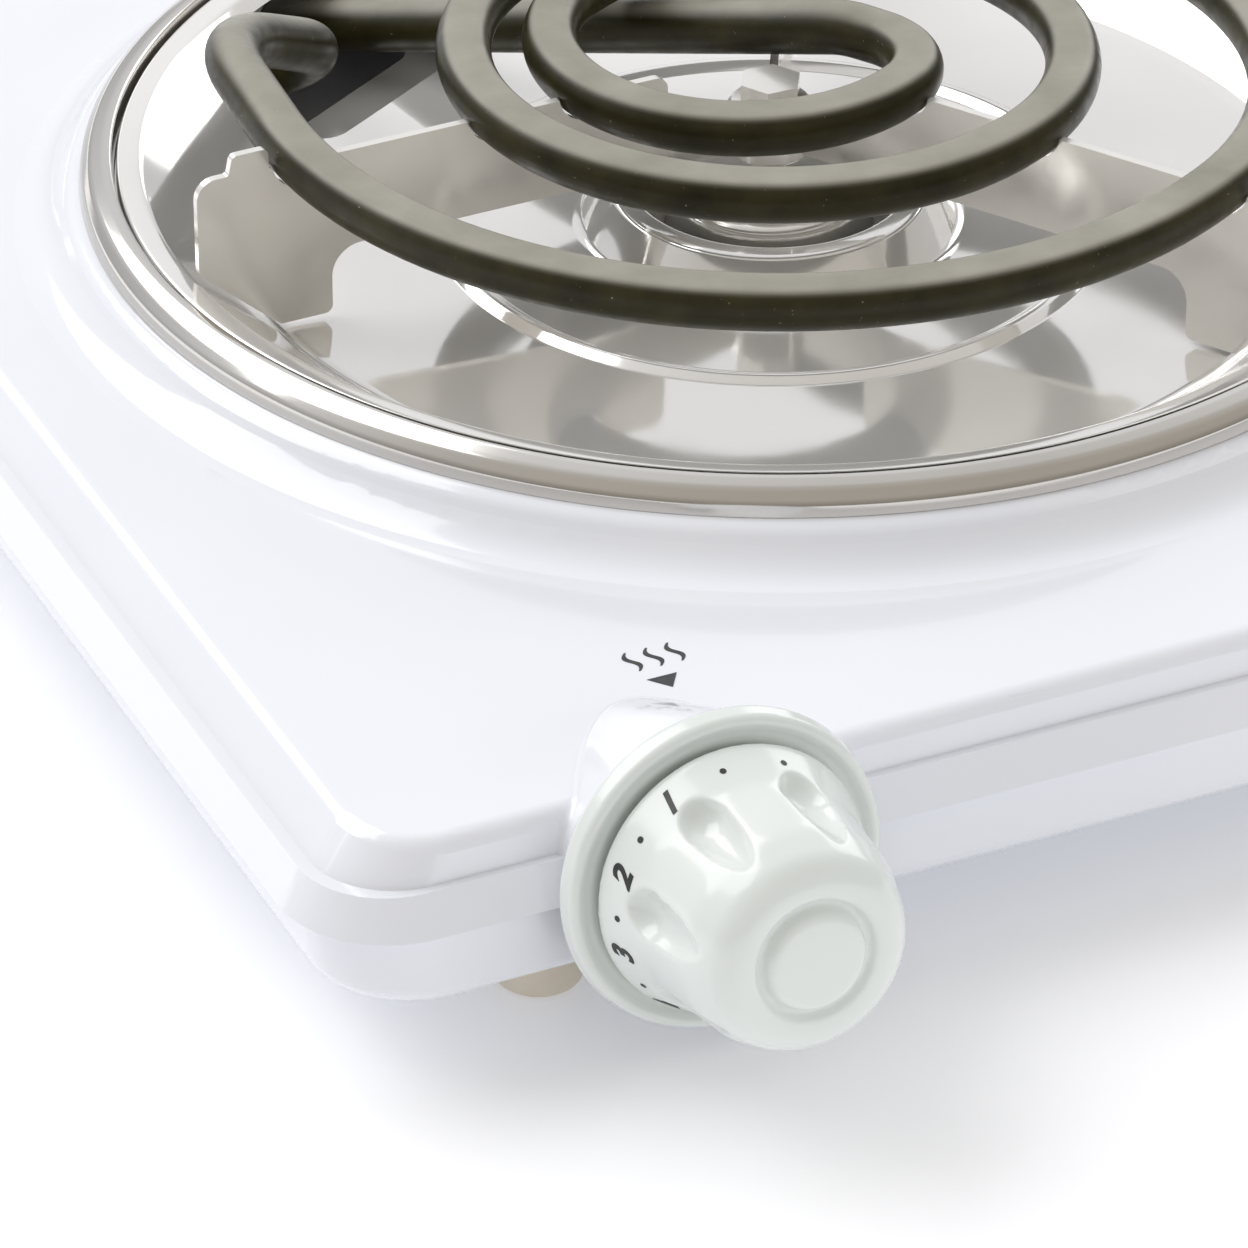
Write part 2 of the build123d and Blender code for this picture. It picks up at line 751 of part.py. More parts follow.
# ---- feet, their screws and the standoffs that tie the pan to the shell ----
screw_recess = 3.0
for place, spot in feet.items():
    with BuildPart() as foot:
        with BuildSketch():
            with Locations(spot):
                Circle(foot_r)
        extrude(amount=foot_height, taper=-1.5)
        fillet(foot.faces().sort_by(Axis.Z)[0].edges(), 0.8)
        with BuildSketch():
            with Locations(spot):
                Circle(3.6)
        extrude(amount=screw_recess, mode=Mode.SUBTRACT)
        with BuildSketch():
            with Locations(spot):
                Circle(1.8)
        extrude(amount=foot_height, mode=Mode.SUBTRACT)
    save(foot.part, f"foot_{place}")

with BuildPart() as foot_screws:
    with BuildSketch(Plane.XY.offset(screw_recess - 1.8)):
        with Locations(*feet.values()):
            Circle(3.2)
    extrude(amount=1.8)
    with BuildSketch(Plane.XY.offset(screw_recess)):
        with Locations(*feet.values()):
            Circle(1.6)
    extrude(amount=foot_height + 4)
    with BuildSketch(Plane.XY.offset(screw_recess - 1.8)):
        with Locations(*feet.values()):
            Rectangle(4.4, 0.8)
            Rectangle(0.8, 4.4)
    extrude(amount=0.9, mode=Mode.SUBTRACT)
save(foot_screws.part, "foot_screws")

with BuildPart() as standoffs:
    with BuildSketch(Plane.XY.offset(foot_height + sheet)):
        with Locations(*feet.values()):
            RegularPolygon(3.6, 6, major_radius=False)
            Circle(1.65, mode=Mode.SUBTRACT)
    extrude(amount=plateau_z - sheet - foot_height - sheet)
save(standoffs.part, "standoffs")

# ---- cord inlet, supply block, ground screw and inner leads ----
back_wall = burner_y + pan_half
with BuildPart() as cord_gland:
    with BuildSketch(Plane.XZ.offset(-back_wall - 2.0)):
        with Locations((gland_x, gland_z)):
            Circle(gland_r + 0.9)
    extrude(amount=2.0)
    with BuildSketch(Plane.XZ.offset(-back_wall)):
        with Locations((gland_x, gland_z)):
            Circle(gland_r)
    extrude(amount=6.0)
    with BuildSketch(Plane.XZ.offset(-back_wall + sheet + 0.02)):
        with Locations((gland_x, gland_z)):
            Circle(gland_r)
            Rectangle(12, 2.4)
    extrude(amount=1.6)
    with BuildSketch(Plane.XZ.offset(-back_wall - 2.0)):
        with Locations((gland_x, gland_z)):
            Circle(gland_bore_r)
    extrude(amount=10.0, mode=Mode.SUBTRACT)
save(cord_gland.part, "cord_gland")

block_centre = (gland_x, burner_y + 94.5)
block_front = block_centre[1] - 6
lead_pitch = 8.0
block_top_z = foot_height + sheet + 10
screw_spots = [(gland_x + k * lead_pitch, block_centre[1] + y) for k in (-1, 0, 1) for y in (-3, 3)]
with BuildPart() as supply_block:
    with BuildSketch(Plane.XY.offset(foot_height + sheet)):
        with Locations(block_centre):
            RectangleRounded(26, 12, 1.2)
    extrude(amount=10)
    with BuildSketch(Plane.XZ.offset(-block_front)):
        with Locations(*[(gland_x + k * lead_pitch, foot_height + sheet + 4.5) for k in (-1, 0, 1)]):
            Circle(1.9)
    extrude(amount=-12, mode=Mode.SUBTRACT)
    with BuildSketch(Plane.XY.offset(block_top_z)):
        with Locations(*screw_spots):
            Circle(1.3)
    extrude(amount=-5, mode=Mode.SUBTRACT)
save(supply_block.part, "supply_block")

with BuildPart() as block_screws:
    with BuildSketch(Plane.XY.offset(block_top_z)):
        with Locations(*screw_spots):
            Circle(2.0)
    extrude(amount=1.2)
    with BuildSketch(Plane.XY.offset(block_top_z - 3)):
        with Locations(*screw_spots):
            Circle(1.2)
    extrude(amount=3)
save(block_screws.part, "block_screws")

lug_spot = (95.0, burner_y + 45.0)
floor_z = foot_height + sheet
with BuildPart() as ground_lug:
    with BuildSketch(Plane.XY.offset(floor_z)):
        with Locations(lug_spot):
            Circle(4.0)
        with Locations((lug_spot[0], lug_spot[1] + 5)):
            Rectangle(4.0, 8.0)
        with Locations(lug_spot):
            Circle(1.7, mode=Mode.SUBTRACT)
    extrude(amount=0.8)
    with BuildSketch(Plane.XZ.offset(-(lug_spot[1] + 9))):
        with Locations((lug_spot[0], floor_z + 1.5)):
            Rectangle(4.0, 3.0)
    extrude(amount=4)
save(ground_lug.part, "ground_lug")

with BuildPart() as ground_screw:
    with BuildSketch(Plane.XY.offset(floor_z + 0.8)):
        with Locations(lug_spot):
            RegularPolygon(3.2, 6)
    extrude(amount=2.2)
    with BuildSketch(Plane.XY.offset(floor_z)):
        with Locations(lug_spot):
            Circle(1.6)
    extrude(amount=0.8)
save(ground_screw.part, "ground_screw")

connector_end = 18.0
tab_end = -29.5
with BuildPart() as connectors:
    with BuildSketch(terminal.offset(connector_end - 7)):
        for v in (lead_gap, -lead_gap):
            with Locations((v, 0)):
                RectangleRounded(6.4, 6.4, 1.2)
                Circle(1.62, mode=Mode.SUBTRACT)
    extrude(amount=4.0)
    with BuildSketch(terminal.offset(connector_end - 3)):
        with Locations((lead_gap, 0), (-lead_gap, 0)):
            RectangleRounded(6.4, 6.4, 1.2)
    extrude(amount=3.0)
    for x, y in tab_places[2:]:
        with BuildSketch(control.offset(tab_near - 1.6)):
            with Locations((x, y)):
                RectangleRounded(7.8, 3.0, 0.6)
                Rectangle(6.34, 0.84, mode=Mode.SUBTRACT)
        extrude(amount=-5.4)
        with BuildSketch(control.offset(tab_near - 7.0)):
            with Locations((x, y)):
                RectangleRounded(7.8, 3.0, 0.6)
        extrude(amount=tab_end - tab_near + 7.0)
save(connectors.part, "connectors")


def lead(label, points, radii):
    """Insulated wire of constant section along straight runs joined by arcs."""
    with BuildPart() as wire:
        with BuildLine() as route:
            FilletPolyline(*points, radius=radii)
        with BuildSketch(Plane(origin=route.line @ 0, z_dir=route.line % 0)):
            Circle(wire_r)
        sweep(path=route.line)
    save(wire.part, label)


def pin_end(v, beyond=0.0):
    """Point on an element pin's line past the end of its connector."""
    return terminal.origin + terminal.x_dir * -v + terminal.z_dir * (connector_end + beyond)


def tab_point(place, beyond=0.0):
    """Point behind the connector on a control tab."""
    return control.origin + control.x_dir * place[0] + control.y_dir * place[1] + control.z_dir * (tab_end - beyond)


block_z = floor_z + 4.5
first_tab = tab_point(tab_places[2], 0.3)
second_tab = tab_point(tab_places[3], 0.3)
lead(
    "lead_switched",
    [
        pin_end(-lead_gap),
        pin_end(-lead_gap, 12),
        (-82, burner_y + 88, wire_z - 1),
        (-84, burner_y + 40, wire_z - 1),
        (first_tab.X, burner_y - 78, wire_z - 0.5),
        first_tab,
    ],
    [5, 20, 60, 60],
)
lead(
    "lead_neutral",
    [
        pin_end(lead_gap),
        pin_end(lead_gap, 12),
        (-20, burner_y + 108, wire_z - 1),
        (25, burner_y + 84, wire_z - 0.5),
        (gland_x - lead_pitch - 1, burner_y + 70, block_z),
        (gland_x - lead_pitch, block_front, block_z),
    ],
    [5, 40, 40, 6],
)
lead(
    "lead_line",
    [
        (gland_x, block_front, block_z),
        (gland_x, burner_y + 62, wire_z - 1),
        (32, burner_y - 12, wire_z - 1.5),
        (-40, burner_y - 66, wire_z - 1),
        (second_tab.X, burner_y - 86, wire_z - 0.4),
        second_tab,
    ],
    [30, 40, 30, 12],
)
lead(
    "lead_ground",
    [
        (gland_x + lead_pitch, block_front, block_z),
        (gland_x + lead_pitch, burner_y + 72, block_z - 0.4),
        (lug_spot[0], burner_y + 72, floor_z + 2.4),
        (lug_spot[0], lug_spot[1] + 9.3, floor_z + 1.5),
    ],
    [8, 8],
)
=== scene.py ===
import json
from math import cos, exp, log, pi, radians, sin, tan

import bmesh
import bpy
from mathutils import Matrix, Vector
from mathutils.bvhtree import BVHTree


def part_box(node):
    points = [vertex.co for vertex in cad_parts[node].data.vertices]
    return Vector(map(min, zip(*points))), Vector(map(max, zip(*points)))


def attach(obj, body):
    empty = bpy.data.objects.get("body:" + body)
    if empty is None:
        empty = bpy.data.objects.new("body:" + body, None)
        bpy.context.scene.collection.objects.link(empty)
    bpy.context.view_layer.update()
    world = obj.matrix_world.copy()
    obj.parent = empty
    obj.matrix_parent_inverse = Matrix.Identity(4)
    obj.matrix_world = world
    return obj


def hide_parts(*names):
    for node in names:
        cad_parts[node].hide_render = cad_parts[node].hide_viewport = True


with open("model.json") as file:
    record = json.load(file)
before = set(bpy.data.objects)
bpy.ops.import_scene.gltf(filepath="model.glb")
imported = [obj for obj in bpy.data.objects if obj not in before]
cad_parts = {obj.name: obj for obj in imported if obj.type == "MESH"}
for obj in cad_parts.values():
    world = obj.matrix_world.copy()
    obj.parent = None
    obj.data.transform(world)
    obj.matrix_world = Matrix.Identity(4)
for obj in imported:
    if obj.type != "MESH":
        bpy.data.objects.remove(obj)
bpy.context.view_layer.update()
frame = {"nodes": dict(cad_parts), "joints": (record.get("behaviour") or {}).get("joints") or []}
nodes = frame["nodes"]
joints = {joint["name"]: joint for joint in frame["joints"]}

MM = 0.001

# ---- places from the frame ----
ring_low, ring_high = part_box("trim_ring")
burner = Vector(((ring_low.x + ring_high.x) / 2, (ring_low.y + ring_high.y) / 2, 0))
knob_origin = Vector(joints["knob_turn"]["pos_m"])
knob_out = -Vector(joints["knob_turn"]["axis"])
knob_right = Vector((1, 0, 0))
knob_up = knob_out.cross(knob_right)
deck_z = ring_low.z


# ---- node tree helpers ----
def new_material(name):
    """A new node material, its node tree and its shader."""
    material = bpy.data.materials.new(name)
    material.use_nodes = True
    tree = material.node_tree
    shader = tree.nodes["Principled BSDF"]
    return material, tree, shader


def add_node(tree, kind, **values):
    """A node with the inputs set by name."""
    node = tree.nodes.new(kind)
    for key, value in values.items():
        node.inputs[key].default_value = value
    return node


def noise(tree, scale, detail=3.0, roughness=0.5, stretch=(1, 1, 1)):
    """Object-space noise at a scale in cycles per metre."""
    place = tree.nodes.new("ShaderNodeTexCoord")
    mapping = tree.nodes.new("ShaderNodeMapping")
    mapping.inputs["Scale"].default_value = stretch
    texture = add_node(tree, "ShaderNodeTexNoise", Scale=scale, Detail=detail, Roughness=roughness)
    tree.links.new(place.outputs["Object"], mapping.inputs["Vector"])
    tree.links.new(mapping.outputs["Vector"], texture.inputs["Vector"])
    return texture.outputs["Fac"]


def ramp(tree, factor, stops):
    """Colour ramp over a factor, from (position, colour) stops."""
    node = tree.nodes.new("ShaderNodeValToRGB")
    elements = node.color_ramp.elements
    while len(elements) < len(stops):
        elements.new(0.5)
    for element, (position, colour) in zip(elements, stops):
        element.position = position
        element.color = (*colour, 1)
    tree.links.new(factor, node.inputs["Fac"])
    return node.outputs["Color"]


def mapped(tree, value, source, target=(0.0, 1.0), smooth=False):
    """A value mapped from the source range to the target range."""
    node = add_node(tree, "ShaderNodeMapRange")
    if smooth:
        node.interpolation_type = "SMOOTHSTEP"
    for key, number in zip(("From Min", "From Max", "To Min", "To Max"), (*source, *target)):
        node.inputs[key].default_value = number
    tree.links.new(value, node.inputs["Value"])
    return node.outputs["Result"]


def spread(tree, factor, low, high):
    """A noise factor mapped from its middle range to low and high."""
    return mapped(tree, factor, (0.3, 0.7), (low, high))


def axis_values(tree, output):
    """The X, Y and Z outputs of one of the texture coordinates."""
    place = tree.nodes.new("ShaderNodeTexCoord")
    axes = tree.nodes.new("ShaderNodeSeparateXYZ")
    tree.links.new(place.outputs[output], axes.inputs[0])
    return axes.outputs


def bump(tree, shader, height, strength, distance):
    """Bump from a height on the shader's normal."""
    node = add_node(tree, "ShaderNodeBump", Strength=strength, Distance=distance)
    tree.links.new(height, node.inputs["Height"])
    tree.links.new(node.outputs["Normal"], shader.inputs["Normal"])


def mixed(tree, factor, low, high):
    """Colour between two colours by a factor."""
    node = tree.nodes.new("ShaderNodeMix")
    node.data_type = "RGBA"
    for socket, source in zip((0, 6, 7), (factor, low, high)):
        tree.links.new(source, node.inputs[socket])
    return node.outputs[2]


def finish_surface(name, dark, light, rough, metallic=0.0, grain=60, bumps=(900, 0.1, 0.00005), **extra):
    """Material with mottled colour and roughness between two values, and a fine bump."""
    material, tree, shader = new_material(name)
    colour = ramp(tree, noise(tree, grain), ((0.3, dark), (0.7, light)))
    tree.links.new(colour, shader.inputs["Base Color"])
    tree.links.new(spread(tree, noise(tree, grain * 3), *rough), shader.inputs["Roughness"])
    shader.inputs["Metallic"].default_value = metallic
    for key, value in extra.items():
        shader.inputs[key.replace("_", " ")].default_value = value
    scale, strength, distance = bumps
    bump(tree, shader, noise(tree, scale), strength, distance)
    return material


enamel = finish_surface(
    "white_enamel", (0.80, 0.82, 0.88), (0.84, 0.855, 0.905), (0.10, 0.16), grain=14,
    bumps=(120, 0.05, 0.0002), Coat_Weight=0.6, Coat_Roughness=0.05,
)
chrome = finish_surface(
    "chrome_plate", (0.60, 0.575, 0.54), (0.66, 0.64, 0.61), (0.09, 0.15), 1.0, grain=18,
    bumps=(70, 0.04, 0.0003),
)
pan_chrome = finish_surface(
    "pan_chrome", (0.86, 0.84, 0.81), (0.92, 0.905, 0.885), (0.05, 0.10), 0.55, grain=18,
    bumps=(70, 0.05, 0.0003),
)
bright_steel = finish_surface(
    "bright_steel", (0.80, 0.78, 0.74), (0.88, 0.86, 0.82), (0.10, 0.22), 0.6, grain=40,
    bumps=(300, 0.08, 0.0001),
)
plastic = finish_surface(
    "white_plastic", (0.73, 0.775, 0.755), (0.775, 0.815, 0.795), (0.16, 0.24), grain=25,
    bumps=(250, 0.05, 0.0001), Coat_Weight=0.4, Coat_Roughness=0.08,
)
rubber = finish_surface(
    "cream_rubber", (0.76, 0.68, 0.55), (0.84, 0.77, 0.66), (0.45, 0.65), grain=90,
    bumps=(900, 0.25, 0.0001),
)
ceramic = finish_surface("glazed_ceramic", (0.80, 0.77, 0.70), (0.88, 0.86, 0.80), (0.35, 0.5), grain=120)
phenolic = finish_surface(
    "moulded_phenolic", (0.025, 0.022, 0.02), (0.05, 0.042, 0.036), (0.35, 0.5), grain=200,
)
zinc = finish_surface("zinc_plate", (0.55, 0.56, 0.58), (0.70, 0.71, 0.72), (0.25, 0.4), 1.0, grain=160)
black_plastic = finish_surface(
    "black_plastic", (0.02, 0.02, 0.022), (0.035, 0.035, 0.04), (0.4, 0.55), grain=150,
)
nylon = finish_surface("natural_nylon", (0.74, 0.71, 0.62), (0.82, 0.80, 0.72), (0.3, 0.45), grain=140)
brass = finish_surface("tinned_brass", (0.60, 0.45, 0.20), (0.75, 0.60, 0.32), (0.2, 0.35), 1.0, grain=160)
bimetal = finish_surface("bimetal_sheet", (0.48, 0.43, 0.36), (0.62, 0.57, 0.50), (0.25, 0.4), 1.0, grain=160)
sleeves = {
    "lead_line": ("black_sleeve", (0.015, 0.015, 0.015), (0.04, 0.04, 0.04)),
    "lead_switched": ("red_sleeve", (0.42, 0.03, 0.02), (0.58, 0.06, 0.04)),
    "lead_neutral": ("white_sleeve", (0.72, 0.71, 0.66), (0.84, 0.83, 0.78)),
    "lead_ground": ("green_sleeve", (0.04, 0.28, 0.07), (0.08, 0.42, 0.12)),
}


def coil_sheath():
    """Dark olive oxide, paler on the flat top partly from wear and partly as painted light from above, with
    painted shade on the sides and underside and small bright specks.
    """
    material, tree, shader = new_material("coil_sheath")
    base = ramp(tree, noise(tree, 160, 5.0), ((0.3, (0.014, 0.012, 0.003)), (0.72, (0.036, 0.032, 0.010))))
    top_wear_and_painted_light = ramp(tree, noise(tree, 90, 4.0), ((0.3, (0.26, 0.25, 0.205)), (0.7, (0.35, 0.335, 0.29))))
    # paler where the surface faces up, partly wear by pans and partly painted light from above; the dark
    # sides and underside are partly painted shade
    top_wear_and_light_mask = mapped(tree, axis_values(tree, "Normal")["Z"], (0.55, 1.0), smooth=True)
    wear_and_painted_light = mixed(tree, top_wear_and_light_mask, base, top_wear_and_painted_light)
    speck = ramp(tree, noise(tree, 1500, 2.0), ((0.72, (0, 0, 0)), (0.80, (0.5, 0.5, 0.5))))
    bright = ramp(tree, noise(tree, 300), ((0.3, (0.36, 0.34, 0.30)), (0.7, (0.42, 0.40, 0.36))))
    tree.links.new(mixed(tree, speck, wear_and_painted_light, bright), shader.inputs["Base Color"])
    tree.links.new(spread(tree, noise(tree, 420), 0.32, 0.46), shader.inputs["Roughness"])
    shader.inputs["Specular IOR Level"].default_value = 0.25
    bump(tree, shader, noise(tree, 1100, 4.0), 0.2, 0.00006)
    return material


sheath = coil_sheath()

finishes = {
    enamel: ("top_shell", "bottom_pan"),
    chrome: ("trim_ring",),
    pan_chrome: ("drip_pan",),
    bright_steel: (
        "heat_shield", "support_arm_left", "support_arm_front", "support_arm_rear", "support_hub",
        "centre_bolt",
    ),
    sheath: ("heating_coil",),
    plastic: ("control_knob", "dial_bezel"),
    rubber: ("foot_front_left", "foot_front_right", "foot_rear_left", "foot_rear_right"),
    ceramic: ("terminal_block", "end_seals", "supply_block"),
    phenolic: ("control_housing", "control_cover"),
    zinc: (
        "block_bracket", "control_bushing", "bushing_nut", "control_shaft", "lever_pin", "shield_nut",
        "pan_nut", "foot_screws", "standoffs", "ground_screw", "knob_clip", "block_screws",
    ),
    black_plastic: ("cord_gland",),
    nylon: ("control_cam", "cam_lever", "connectors"),
    brass: ("contact_blades", "control_tabs", "element_pins", "ground_lug"),
    bimetal: ("bimetal_strip",),
}
for node, (name, dark, light) in sleeves.items():
    finishes[finish_surface(name, dark, light, (0.5, 0.7), grain=600, bumps=(2500, 0.4, 0.0001))] = (node,)


def paint(piece, material):
    """Give a piece one material."""
    piece.data.materials.clear()
    piece.data.materials.append(material)


for material, names in finishes.items():
    for name in names:
        paint(nodes[name], material)

# ---- mesh helpers ----
def rounded(points, radii, steps=8):
    """Points of a line whose inner corners are arcs of the given radii."""
    points = [Vector(point) for point in points]
    line = [points[0]]
    for before, corner, after, radius in zip(points, points[1:], points[2:], radii):
        into = (corner - before).normalized()
        out = (after - corner).normalized()
        turn = into.angle(out)
        if turn < 0.01:
            line.append(corner)
            continue
        reach = min(radius * tan(turn / 2), 0.48 * (corner - before).length, 0.48 * (after - corner).length)
        start = corner - into * reach
        inward = (out - into * into.dot(out)).normalized()
        bend = reach / tan(turn / 2)
        for i in range(steps + 1):
            angle = turn * i / steps
            line.append(start + into * (bend * sin(angle)) + inward * (bend * (1 - cos(angle))))
    line.append(points[-1])
    return line


def add_piece(name, vertices, faces, material, body):
    """Smooth mesh piece that rides on a body."""
    mesh = bpy.data.meshes.new(name)
    mesh.from_pydata(vertices, [], faces)
    mesh.validate()
    mesh.materials.append(material)
    for polygon in mesh.polygons:
        polygon.use_smooth = True
    piece = bpy.data.objects.new(name, mesh)
    bpy.context.scene.collection.objects.link(piece)
    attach(piece, body)
    return piece


def apply_modifiers(piece):
    """Turn a piece's modifiers into its mesh."""
    evaluated = piece.evaluated_get(bpy.context.evaluated_depsgraph_get())
    mesh = bpy.data.meshes.new_from_object(evaluated)
    piece.modifiers.clear()
    piece.data = mesh
    for polygon in mesh.polygons:
        polygon.use_smooth = True
    mesh.set_sharp_from_angle(angle=radians(50))


def ring_vertices(profile, origin, axis, steps):
    """Points of a (radius, height) profile in mm turned about an axis."""
    side = axis.orthogonal().normalized()
    other = axis.cross(side)
    vertices = []
    for i in range(steps):
        angle = 2 * pi * i / steps
        outward = side * cos(angle) + other * sin(angle)
        vertices.extend(origin + outward * (p.x * MM) + axis * (p.y * MM) for p in profile)
    return vertices


def lathe(name, profile, origin, axis, material, body, closed=True, steps=288):
    """Turned piece; a closed profile makes a solid ring, an open one a skin."""
    count = len(profile)
    spans = count if closed else count - 1
    faces = []
    for i in range(steps):
        j = (i + 1) % steps
        for k in range(spans):
            m = (k + 1) % count
            faces.append((i * count + k, j * count + k, j * count + m, i * count + m))
    return add_piece(name, ring_vertices(profile, origin, axis, steps), faces, material, body)


def flat(points, lift=0.0):
    """(radius, height) points as vectors, raised by lift."""
    return [Vector((x, y + lift, 0)) for x, y in points]


# ---- bright ring: convex band with a turned-down inner hem ----
up = Vector((0, 0, 1))
ring_outer = (ring_high.x - ring_low.x) / 2 / MM
ring_height = (ring_high.z - ring_low.z) / MM
ring_inner = ring_outer - 4.75
ring_profile = rounded(
    flat(
        [
            (ring_outer - 0.6, 0.02),
            (ring_outer, 0.02),
            (ring_outer - 0.35, 2.0),
            (ring_outer - 1.6, 3.6),
            (ring_inner + 1.2, ring_height - 0.05),
            (ring_inner, ring_height - 0.1),
            (ring_inner - 0.25, 1.3),
            (ring_inner + 0.2, 1.3),
            (ring_inner + 0.6, ring_height - 0.7),
            (ring_outer - 2.1, 2.9),
            (ring_outer - 0.6, 0.02),
        ]
    ),
    [0.1, 2.4, 2.4, 2.4, 0.5, 0.1, 0.1, 0.3, 2.0],
)[:-1]
ring = lathe("trim_ring_band", ring_profile, burner + up * ring_low.z, up, chrome, "chassis")
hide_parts("trim_ring")

# ---- drip pan: seat flange, ledge, sloped wall, bead and centre lip, cut away for the leads ----
pan_line = rounded(
    flat(
        [
            (95.4, 0.3),
            (92.35, 0.3),
            (92.35, 3.25),
            (89.3, 2.85),
            (76.6, -7.9),
            (72.0, -8.1),
            (48.4, -9.1),
            (46.6, -7.9),
            (44.6, -9.2),
            (27.0, -9.5),
            (22.6, -3.2),
            (19.6, -3.2),
            (18.9, -5.3),
        ]
    ),
    [0.3, 0.4, 2.0, 6.0, 8.0, 0.9, 0.9, 0.9, 2.2, 1.2, 1.0],
)
pan_origin = burner + up * deck_z
pan = lathe("drip_pan_bowl", pan_line, pan_origin, up, pan_chrome, "chassis", closed=False)
skin = pan.modifiers.new("skin", "SOLIDIFY")
skin.thickness = 0.46 * MM
skin.offset = 0
exit_angle = radians(121.5)
exit_way = Vector((cos(exit_angle), sin(exit_angle), 0))
exit_side = Vector((-sin(exit_angle), cos(exit_angle), 0))
slot_near = 64
slot_far = 94
slot_half = 19
slot_below = 12 * MM
slot_above = 1.2 * MM
slot_corners = rounded(
    [
        (slot_near, 0, 0),
        (slot_near, -slot_half, 0),
        (slot_far, -slot_half, 0),
        (slot_far, slot_half, 0),
        (slot_near, slot_half, 0),
        (slot_near, 0, 0),
    ],
    [5, 5, 5, 5],
)[:-1]


def slot_ring(height):
    """Outline of the lead cut-out at a height."""
    return [burner + (exit_way * p.x + exit_side * p.y) * MM + up * height for p in slot_corners]


cutter_mesh = bpy.data.meshes.new("slot_cutter")
edge_count = len(slot_corners)
after = [(i + 1) % edge_count for i in range(edge_count)]
sides = [(i, after[i], edge_count + after[i], edge_count + i) for i in range(edge_count)]
caps = [tuple(reversed(range(edge_count))), tuple(range(edge_count, 2 * edge_count))]
slot_rings = slot_ring(deck_z - slot_below) + slot_ring(deck_z + slot_above)
cutter_mesh.from_pydata(slot_rings, [], sides + caps)
cutter = bpy.data.objects.new("slot_cutter", cutter_mesh)
bpy.context.scene.collection.objects.link(cutter)
cut = pan.modifiers.new("cut", "BOOLEAN")
cut.operation = "DIFFERENCE"
cut.object = cutter
apply_modifiers(pan)
bpy.data.objects.remove(cutter)
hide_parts("drip_pan")

# ---- heating coil: one tube swept along its turns, flat on top between two round leads ----
tube_r = 3.95
tube_flat = 3.1
coil_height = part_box("heating_coil")[1].z / MM - tube_r
lead_gap = 11.0
turn_radii = (72.8, 43.3, 32.0, 22.0)
outer_end = 54
lead_end = 98
lead_end_height = 28.8
drop_start = 68


def turn_points(centre, radius, start, end):
    """Points of a turn about a centre on the exit line, between two angles in degrees."""
    count = max(2, int(abs(start - end) / 2.5))
    angles = [radians(start + (end - start) * i / count) for i in range(count + 1)]
    return [Vector((centre + radius * cos(a), radius * sin(a), coil_height)) for a in angles]


def coil_line():
    """Centre line of the coil in (exit way, side, height), and the spans that are flat on top."""
    outer, second, third, inner = turn_radii
    straight = rounded(
        [
            (lead_end, -lead_gap, lead_end_height),
            (-lead_gap / 2, -lead_gap, coil_height),
            (-lead_gap, -lead_gap, coil_height),
        ],
        [30],
        14,
    )
    turns = turn_points(-lead_gap, lead_gap, 270, 180)
    turns += turn_points((third - inner) / 2, (third + inner) / 2, 180, 0)[1:]
    turns += turn_points((third - second) / 2, (third + second) / 2, 360, 180)[1:]
    turns += turn_points(0, second, 180, 0)[1:]
    turns += turn_points((second - outer) / 2, (second + outer) / 2, 360, 180)[1:]
    turns += turn_points(0, outer, 180, outer_end)[1:]
    descent = rounded(
        [
            turns[-1],
            (drop_start, 40.5, coil_height),
            (drop_start, lead_gap, 43),
            (86, lead_gap, 32.1),
            (lead_end, lead_gap, lead_end_height),
        ],
        [30, 13, 18],
        14,
    )
    first = len(straight) - 1
    return straight[:-1] + turns + descent[1:], first, first + len(turns)


def tube_section(flatness, count=44):
    """Round section whose top is pressed flat with soft edges."""
    soft = 0.16
    lift = 0.02 * soft
    section = []
    for i in range(count):
        angle = 2 * pi * i / count
        height = tube_r * sin(angle)
        pressed = height - soft * log(1 + exp((height - tube_flat) / soft)) + lift
        section.append((tube_r * cos(angle), height + (min(pressed, tube_flat) - height) * flatness))
    return section


line, flat_start, flat_end = coil_line()
reach = [0.0]
for a, b in zip(line, line[1:]):
    reach.append(reach[-1] + (b - a).length)
blend_length = 9.0
coil_vertices, coil_faces = [], []
section_count = len(tube_section(1))
for i, point in enumerate(line):
    along = (line[min(i + 1, len(line) - 1)] - line[max(i - 1, 0)]).normalized()
    side = along.cross(up).normalized()
    rise = side.cross(along)
    inside = min(reach[i] - reach[flat_start], reach[flat_end - 1] - reach[i])
    share = min(1.0, max(0.0, 0.5 + inside / blend_length))
    share = share * share * (3 - 2 * share)
    for across, height in tube_section(share):
        spot = point + side * across + rise * height
        coil_vertices.append(burner + (exit_way * spot.x + exit_side * spot.y) * MM + up * (spot.z * MM))
    if i:
        base = (i - 1) * section_count
        for k in range(section_count):
            m = (k + 1) % section_count
            coil_faces.append((base + k, base + m, base + section_count + m, base + section_count + k))
coil_faces.append(tuple(reversed(range(section_count))))
coil_faces.append(tuple(range(len(coil_vertices) - section_count, len(coil_vertices))))
coil = add_piece("heating_coil_tube", coil_vertices, coil_faces, sheath, "chassis")
coil.data.set_sharp_from_angle(angle=radians(60))
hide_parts("heating_coil")


# ---- printed marks ----
def surface_of(*pieces):
    """Ray targets of pieces at rest."""
    return [BVHTree.FromObject(piece, bpy.context.evaluated_depsgraph_get()) for piece in pieces]


def hit(tree, origin, way, lift):
    """Point on a surface along a ray, lifted off it along its normal."""
    place, normal = tree.ray_cast(origin, way)[:2]
    if normal.dot(way) > 0:
        normal = -normal
    return place + normal * lift


ink_under = 0.02 * MM
ink_over = 0.07 * MM
longest_edge = 0.6


